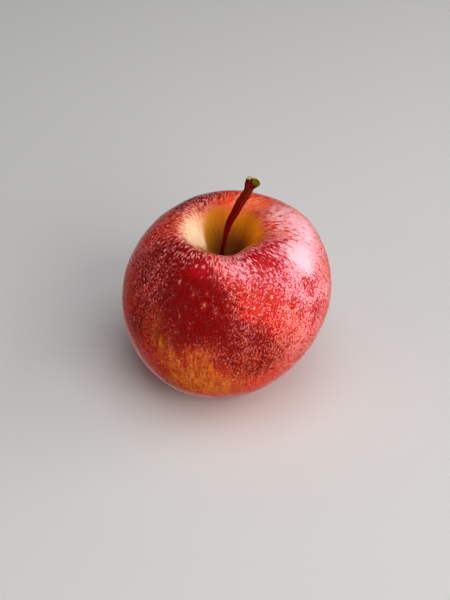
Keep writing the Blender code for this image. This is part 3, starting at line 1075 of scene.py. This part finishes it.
def stalk_material():
    """Red-brown bark with darker furrows and tan crests, the cream-edged scar and the nub."""
    material, s = new_material("stalk_bark")
    place = s.node("ShaderNodeTexCoord").outputs["Object"]
    around = s.attribute("round", "Vector")
    fibre = s.noise(around, 5.0, 4.0, 0.65)
    patch = s.noise(place, 420, 2.0, 0.5)
    grit = s.noise(place, 3200, 2.0, 0.6)
    ridge = s.attribute("ridge")
    # Browner bark high up, partly its own colour and partly painted light on the right side
    brown_share = s.total((s.attribute("upper"), 0.4), (s.attribute("painted_light_bark"), 0.6))
    brown = s.mix(brown_share, BARK_RED, BARK_BROWN)
    bark = s.mix(s.step(s.total((ridge, 0.25), (fibre, 1.6)), -0.55, 0.35), BARK_DARK, brown)
    bark = s.mix(s.step(s.total((ridge, 0.3), (fibre, 1.2), (patch, 1.8)), 0.50, 1.20), bark, BARK_TAN)
    blotch = s.noise(place, 1500, 2.0, 0.5)
    scar = s.mix(s.step(s.total((grit, 1.6), (blotch, 2.4)), -0.45, 0.35), SCAR_DARK, SCAR_OLIVE)
    edge = s.step(s.total(s.attribute("hollow"), (grit, 0.6), (blotch, 0.8)), 0.75, 0.15)
    edge = s.math("MULTIPLY", edge, s.attribute("bright_side"))
    scar = s.mix(edge, scar, SCAR_CREAM)
    rim = s.step(s.total(s.attribute("rim"), (grit, 0.5)), 0.20, 0.60)
    rim = s.math("MULTIPLY", rim, s.attribute("bright_side"))
    colour = s.mix(rim, bark, SCAR_CREAM)
    colour = s.mix(s.attribute("face"), colour, scar)
    nub = s.step(s.total(s.attribute("nub"), (grit, 1.0), (blotch, 2.0)), 0.25, 0.75)
    nub = s.math("MULTIPLY", nub, s.step(s.attribute("nub"), 0.0, 0.3))
    colour = s.mix(nub, colour, NUB_GREEN)
    normal = s.bump(s.total(fibre, (grit, 0.5)), 0.0001, 0.7)
    roughness = s.total((fibre, 0.3), (s.attribute("face"), 0.35), 0.5)
    s.finish(colour, roughness, normal, Specular_IOR_Level=0.08)
    return material


# The calyx

DRY_BROWN = linear(112, 84, 54)
DRY_DARK = linear(52, 36, 22)
DRY_DOWN = linear(168, 150, 122)
CALYX_VOXEL = 0.00011
WRINKLE_HEIGHT = 0.00005
CUP_THICKNESS = 0.0024

# The stamens: least and most of how far from the middle each starts, spreads and hangs down
STAMEN_COUNT = 16
STAMEN_RADIUS = 0.00011
STAMEN_STEPS = 14
STAMEN_START = (0.0003, 0.0011)
STAMEN_SPREAD = (0.0002, 0.0012)
STAMEN_LENGTH = (0.0022, 0.0034)
STAMEN_UNEVEN = 0.3
STAMEN_TWIST = 0.5
ANTHER_SWELL = 2.2
ANTHER_START = 0.86


def make_calyx():
    """The dry calyx underneath: a small cup with wrinkled downy sepals."""
    calyx = copy_of("calyx", "calyx_sepals")
    remeshed(calyx, CALYX_VOXEL)
    mesh = calyx.data
    points = coordinates(mesh)
    x, y, z = (points / MM).T
    wrinkles = np.sin(x * 5 + 2 * np.sin(y * 3)) * np.sin(y * 4.4 + np.sin(z * 5))
    wrinkles += 0.5 * np.sin(z * 9 + x * 3)
    move_points(mesh, points + normals(mesh) * (wrinkles * WRINKLE_HEIGHT)[:, None])
    mesh.materials.append(dry_material("calyx_sepals"))
    mesh.shade_smooth()
    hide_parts("calyx")
    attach(calyx, "root")


def make_stamens():
    """The tuft of withered stamens that hangs between the sepals, each ending in its anther."""
    low, high = (Vector(corner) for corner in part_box("calyx"))
    middle = (low + high) / 2
    root = high.z - CUP_THICKNESS
    draw = random.Random(SEED)
    curves = bpy.data.curves.new("stamens", "CURVE")
    curves.dimensions = "3D"
    curves.bevel_depth = STAMEN_RADIUS
    curves.bevel_resolution = 2
    curves.use_fill_caps = True
    for number in range(STAMEN_COUNT):
        turn = math.tau * (number + draw.uniform(-STAMEN_UNEVEN, STAMEN_UNEVEN)) / STAMEN_COUNT
        start = draw.uniform(*STAMEN_START)
        spread = draw.uniform(*STAMEN_SPREAD)
        length = draw.uniform(*STAMEN_LENGTH)
        twist = draw.uniform(-STAMEN_TWIST, STAMEN_TWIST)
        spline = curves.splines.new("POLY")
        spline.points.add(STAMEN_STEPS)
        for step, point in enumerate(spline.points):
            share = step / STAMEN_STEPS
            angle = turn + twist * share
            out = start + spread * share**2
            down = root - length * share
            point.co = (middle.x + out * math.cos(angle), middle.y + out * math.sin(angle), down, 1)
            swell = ANTHER_SWELL * math.sin(math.pi * share)
            point.radius = swell if share > ANTHER_START else 1 - 0.3 * share
    shaped = put("stamen_curves", curves)
    graph = bpy.context.evaluated_depsgraph_get()
    mesh = bpy.data.meshes.new_from_object(shaped.evaluated_get(graph))
    bpy.data.objects.remove(shaped)
    stamens = put("calyx_stamens", mesh)
    mesh.materials.clear()
    mesh.materials.append(dry_material("calyx_stamens"))
    mesh.shade_smooth()
    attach(stamens, "root")


def dry_material(name):
    """Dry brown with dark creases and pale down."""
    material, s = new_material(name)
    place = s.node("ShaderNodeTexCoord").outputs["Object"]
    patch = s.noise(place, 700, 3.0, 0.6)
    fibre = s.noise(place, 3000, 3.0, 0.7)
    brown = s.mix(s.step(s.total(patch, (fibre, 0.6)), -0.25, 0.2), DRY_DARK, DRY_BROWN)
    colour = s.mix(s.step(s.total((fibre, 1.0), (patch, 0.5)), 0.1, 0.35), brown, DRY_DOWN)
    normal = s.bump(s.total(fibre, patch), 0.0001, 0.8)
    s.finish(colour, 0.85, normal, Specular_IOR_Level=0.2, Sheen_Weight=0.3, Sheen_Roughness=0.5)
    return material


def main():
    """Builds the whole scene."""
    make_camera()
    make_light()
    make_floor()
    make_skin()
    make_stalk()
    make_calyx()
    make_stamens()


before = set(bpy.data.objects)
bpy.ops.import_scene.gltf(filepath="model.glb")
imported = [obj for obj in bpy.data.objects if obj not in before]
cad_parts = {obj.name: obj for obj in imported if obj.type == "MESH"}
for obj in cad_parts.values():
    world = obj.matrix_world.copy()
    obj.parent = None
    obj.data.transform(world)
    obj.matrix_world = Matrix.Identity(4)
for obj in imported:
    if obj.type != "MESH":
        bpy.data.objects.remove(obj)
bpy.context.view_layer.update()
main()
